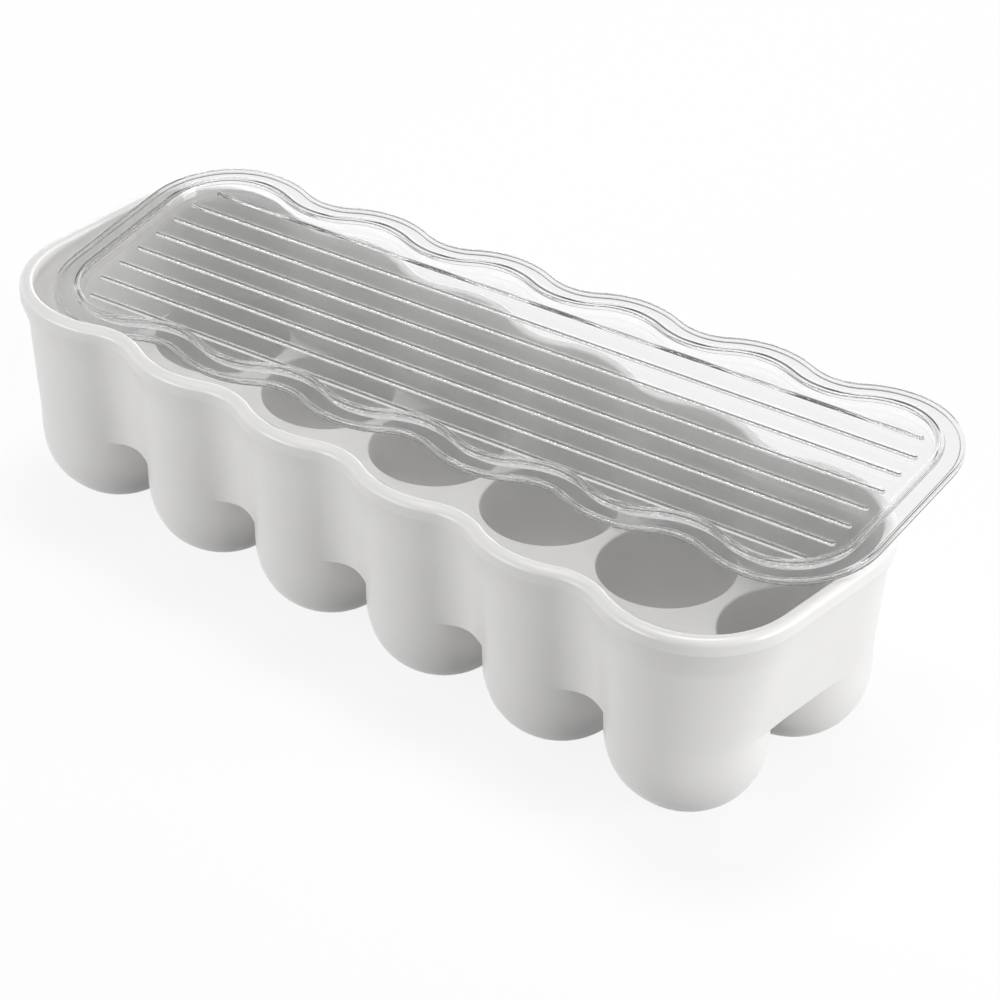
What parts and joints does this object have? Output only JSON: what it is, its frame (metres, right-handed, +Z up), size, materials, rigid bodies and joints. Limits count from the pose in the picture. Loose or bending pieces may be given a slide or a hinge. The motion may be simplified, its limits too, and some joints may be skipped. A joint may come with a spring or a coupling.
{
  "type": "egg keeper",
  "caption": "Long opaque egg tray with joined round cups, a wavy side wall and a thick lip, and a clear ribbed lid lying askew on top.",
  "frame": {"origin": "middle of the whole object's bounding box, at the height of the surface it stands on", "axes": "+X along the tray, +Z up, +Y towards the side the lid overhangs"},
  "size_m": [0.3208, 0.1438, 0.0871],
  "materials": {
    "tray_plastic": "opaque moulded plastic, soft gloss",
    "clear_plastic": "clear moulded plastic, polished"
  },
  "bodies": {
    "tray": {"egg_tray": "tray_plastic"},
    "lid": {"lid": "clear_plastic"}
  },
  "joints": [
    {"name": "lid_lift", "type": "slide", "parent": "tray", "child": "lid", "axis": [0, 0, 1], "range_m": [0, 0.12]}
  ]
}
